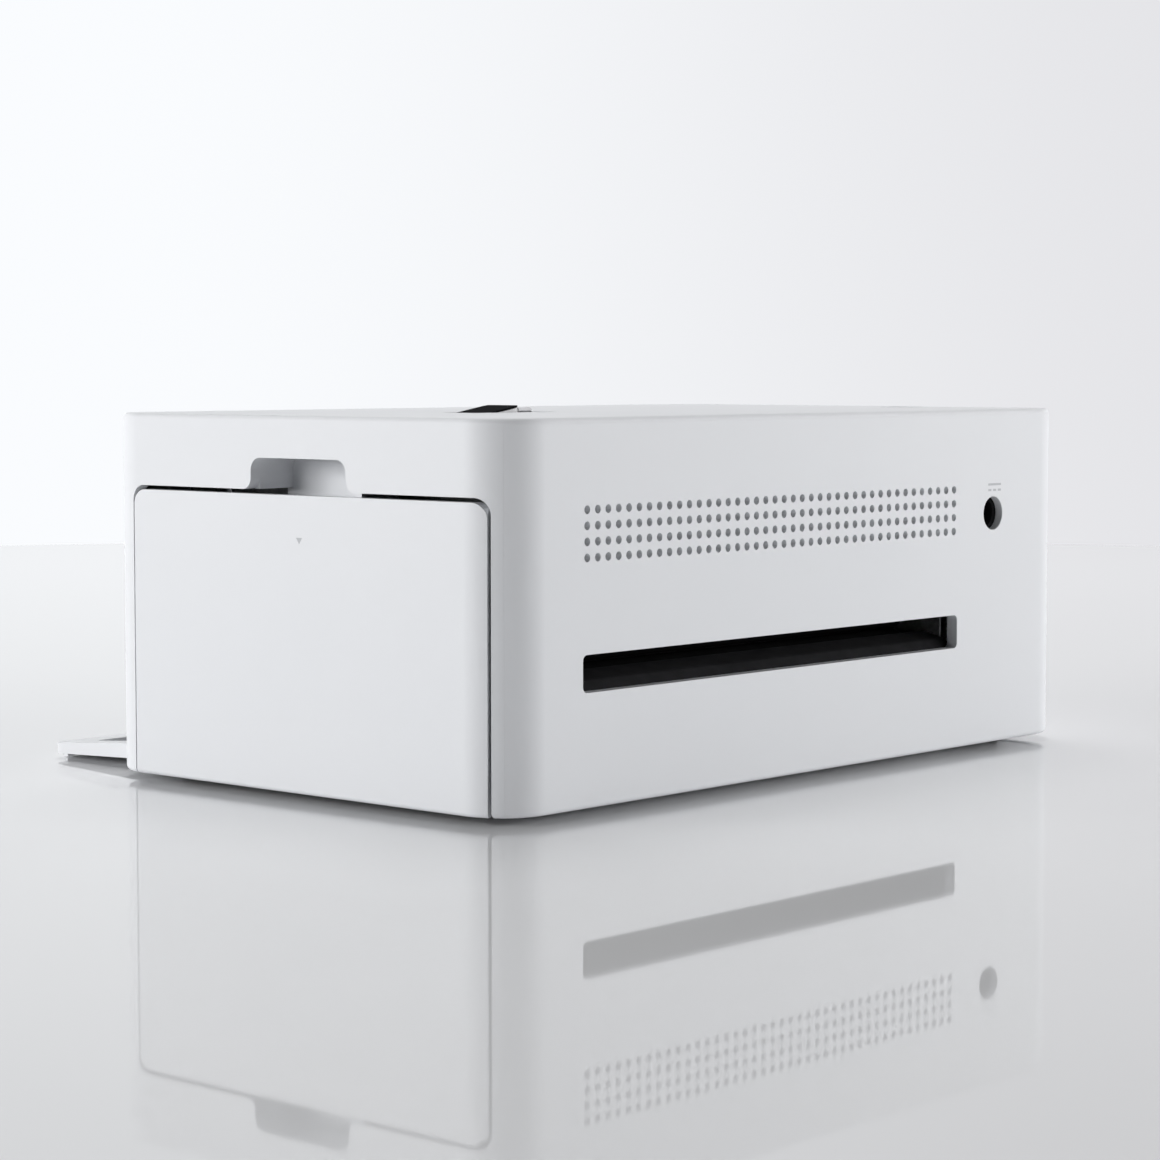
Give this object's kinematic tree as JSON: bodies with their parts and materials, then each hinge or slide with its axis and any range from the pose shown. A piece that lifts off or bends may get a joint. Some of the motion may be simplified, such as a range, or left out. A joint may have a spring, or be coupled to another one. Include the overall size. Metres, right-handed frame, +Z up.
{
  "type": "photo printer",
  "caption": "Compact photo printer for phones: pale case with fold-down paper tray, side door over a ribbon cartridge, tilting phone connector, rear paper slot and vents",
  "frame": {"origin": "centre of the bounding box of the printer with its tray open, on the table under the feet", "axes": "+X to the cartridge door side, +Y to the back with the vents and the paper slot, +Z up"},
  "size_m": [0.1658, 0.128, 0.0677],
  "materials": {
    "shell_plastic": "satin",
    "dark_plastic": "fine grain",
    "black_gloss": "gloss",
    "rubber": "matte",
    "sheet_steel": "zinc plated",
    "ground_steel": "ground",
    "aluminium": "extruded",
    "motor_can": "plated",
    "acetal": "satin",
    "circuit_board": "solder resist",
    "ribbon_film": "gloss",
    "cartridge_plastic": "satin"
  },
  "bodies": {
    "chassis": {"body_shell": "shell_plastic", "rear_panel": "shell_plastic", "bottom_cover": "shell_plastic", "tray_bay": "dark_plastic", "cartridge_bay_frame": "dark_plastic", "left_side_plate": "sheet_steel", "right_side_plate": "sheet_steel", "front_crossbar": "sheet_steel", "top_brace": "sheet_steel", "ramp_guide": "dark_plastic", "bed_guide": "dark_plastic", "exit_guide": "dark_plastic", "foot_front_left": "rubber", "foot_rear_left": "rubber", "foot_front_right": "rubber", "foot_rear_right": "rubber", "main_board": "circuit_board", "dc_jack": "black_gloss", "fan_frame": "dark_plastic", "drive_motor": "motor_can", "motor_bracket": "sheet_steel", "supply_hub": "acetal", "head_pivot_shaft": "ground_steel", "dock_well": "dark_plastic", "dock_hinge_pin": "ground_steel"},
    "cartridge_door": {"cartridge_door": "shell_plastic", "door_hinge_pin_1": "ground_steel", "door_hinge_pin_2": "ground_steel", "door_magnet_1": "ground_steel", "door_magnet_2": "ground_steel"},
    "tray_flap": {"tray_flap": "shell_plastic"},
    "power_button": {"power_button": "shell_plastic"},
    "dock_connector": {"dock_arm": "shell_plastic", "dock_cover": "black_gloss", "dock_plug": "ground_steel"},
    "print_head": {"head_bracket": "sheet_steel", "heat_sink": "aluminium", "thermal_head": "black_gloss"},
    "capstan": {"capstan_roller": "ground_steel", "capstan_gear": "acetal"},
    "platen": {"platen_roller": "rubber", "platen_shaft": "ground_steel"},
    "pinch": {"pinch_roller": "rubber"},
    "pickup": {"pickup_shaft": "acetal", "pickup_tyre_1": "rubber", "pickup_tyre_2": "rubber", "pickup_gear": "acetal"},
    "motor_pinion": {"motor_pinion": "ground_steel"},
    "idler_1": {"idler_gear_1": "acetal"},
    "idler_2": {"idler_gear_2": "acetal"},
    "take_up_drive": {"take_up_drive_gear": "acetal"},
    "cartridge": {"cartridge_frame": "cartridge_plastic", "ribbon_film": "ribbon_film"},
    "supply": {"supply_spool": "acetal", "supply_film_roll": "ribbon_film"},
    "take_up": {"take_up_spool": "acetal", "take_up_film_roll": "ribbon_film"},
    "fan": {"fan_rotor": "dark_plastic"}
  },
  "joints": [
    {"name": "door_hinge", "type": "hinge", "parent": "chassis", "child": "cartridge_door", "pos_m": [0.0796, 0, 0.005], "axis": [0, 1, 0], "range_deg": [0, 90]},
    {"name": "tray_hinge", "type": "hinge", "parent": "chassis", "child": "tray_flap", "pos_m": [0, -0.034, 0.0042], "axis": [-1, 0, 0], "range_deg": [0, 92.36]},
    {"name": "power_press", "type": "slide", "parent": "chassis", "child": "power_button", "axis": [0, 0, -1], "range_m": [0, 0.0006], "stiffness_N_per_m": 1500, "springref_m": -0.0004},
    {"name": "connector_tilt", "type": "hinge", "parent": "chassis", "child": "dock_connector", "pos_m": [0.0388, 0.014, 0.063], "axis": [0, 1, 0], "range_deg": [0, 20]},
    {"name": "head_pivot", "type": "hinge", "parent": "chassis", "child": "print_head", "pos_m": [0, -0.02, 0.052], "axis": [-1, 0, 0], "range_deg": [0, 10], "stiffness_Nm_per_rad": 0.12, "springref_deg": -17.19},
    {"name": "capstan_spin", "type": "hinge", "parent": "chassis", "child": "capstan", "pos_m": [0, 0.05, 0.0195], "axis": [1, 0, 0], "continuous": true},
    {"name": "platen_spin", "type": "hinge", "parent": "chassis", "child": "platen", "pos_m": [0, 0.018, 0.0185], "axis": [1, 0, 0], "continuous": true},
    {"name": "pinch_spin", "type": "hinge", "parent": "chassis", "child": "pinch", "pos_m": [0, 0.05, 0.0273], "axis": [1, 0, 0], "continuous": true},
    {"name": "pickup_spin", "type": "hinge", "parent": "chassis", "child": "pickup", "pos_m": [0, -0.02198, 0.02959], "axis": [1, 0, 0], "continuous": true},
    {"name": "motor_spin", "type": "hinge", "parent": "chassis", "child": "motor_pinion", "pos_m": [0, 0.03753, 0.01639], "axis": [1, 0, 0], "continuous": true},
    {"name": "idler_1_spin", "type": "hinge", "parent": "chassis", "child": "idler_1", "pos_m": [0, 0.02647, 0.01935], "axis": [1, 0, 0], "continuous": true},
    {"name": "idler_2_spin", "type": "hinge", "parent": "chassis", "child": "idler_2", "pos_m": [0, 0.01802, 0.03335], "axis": [1, 0, 0], "continuous": true},
    {"name": "take_up_drive_spin", "type": "hinge", "parent": "chassis", "child": "take_up_drive", "pos_m": [0, -0.003, 0.0365], "axis": [1, 0, 0], "continuous": true},
    {"name": "cartridge_slide", "type": "slide", "parent": "chassis", "child": "cartridge", "axis": [1, 0, 0], "range_m": [0, 0.0225]},
    {"name": "supply_spin", "type": "hinge", "parent": "cartridge", "child": "supply", "pos_m": [0, 0.037, 0.0365], "axis": [1, 0, 0], "continuous": true},
    {"name": "take_up_spin", "type": "hinge", "parent": "cartridge", "child": "take_up", "pos_m": [0, -0.003, 0.0365], "axis": [1, 0, 0], "continuous": true},
    {"name": "fan_spin", "type": "hinge", "parent": "chassis", "child": "fan", "pos_m": [-0.008, 0, 0.047], "axis": [0, 1, 0], "continuous": true}
  ],
  "couplings": [
    {"joint": "platen_spin", "follows": "capstan_spin", "ratio": 0.81818},
    {"joint": "pinch_spin", "follows": "capstan_spin", "ratio": -1.5},
    {"joint": "pickup_spin", "follows": "capstan_spin", "ratio": -1.0435},
    {"joint": "motor_spin", "follows": "capstan_spin", "ratio": -2},
    {"joint": "idler_1_spin", "follows": "capstan_spin", "ratio": 1.2},
    {"joint": "idler_2_spin", "follows": "capstan_spin", "ratio": -0.92308},
    {"joint": "take_up_drive_spin", "follows": "capstan_spin", "ratio": 0.70588},
    {"joint": "take_up_spin", "follows": "capstan_spin", "ratio": 0.70588},
    {"joint": "supply_spin", "follows": "capstan_spin", "ratio": 0.5098},
    {"joint": "door_hinge", "follows": "cartridge_slide", "rad_per_m": 69.81}
  ]
}
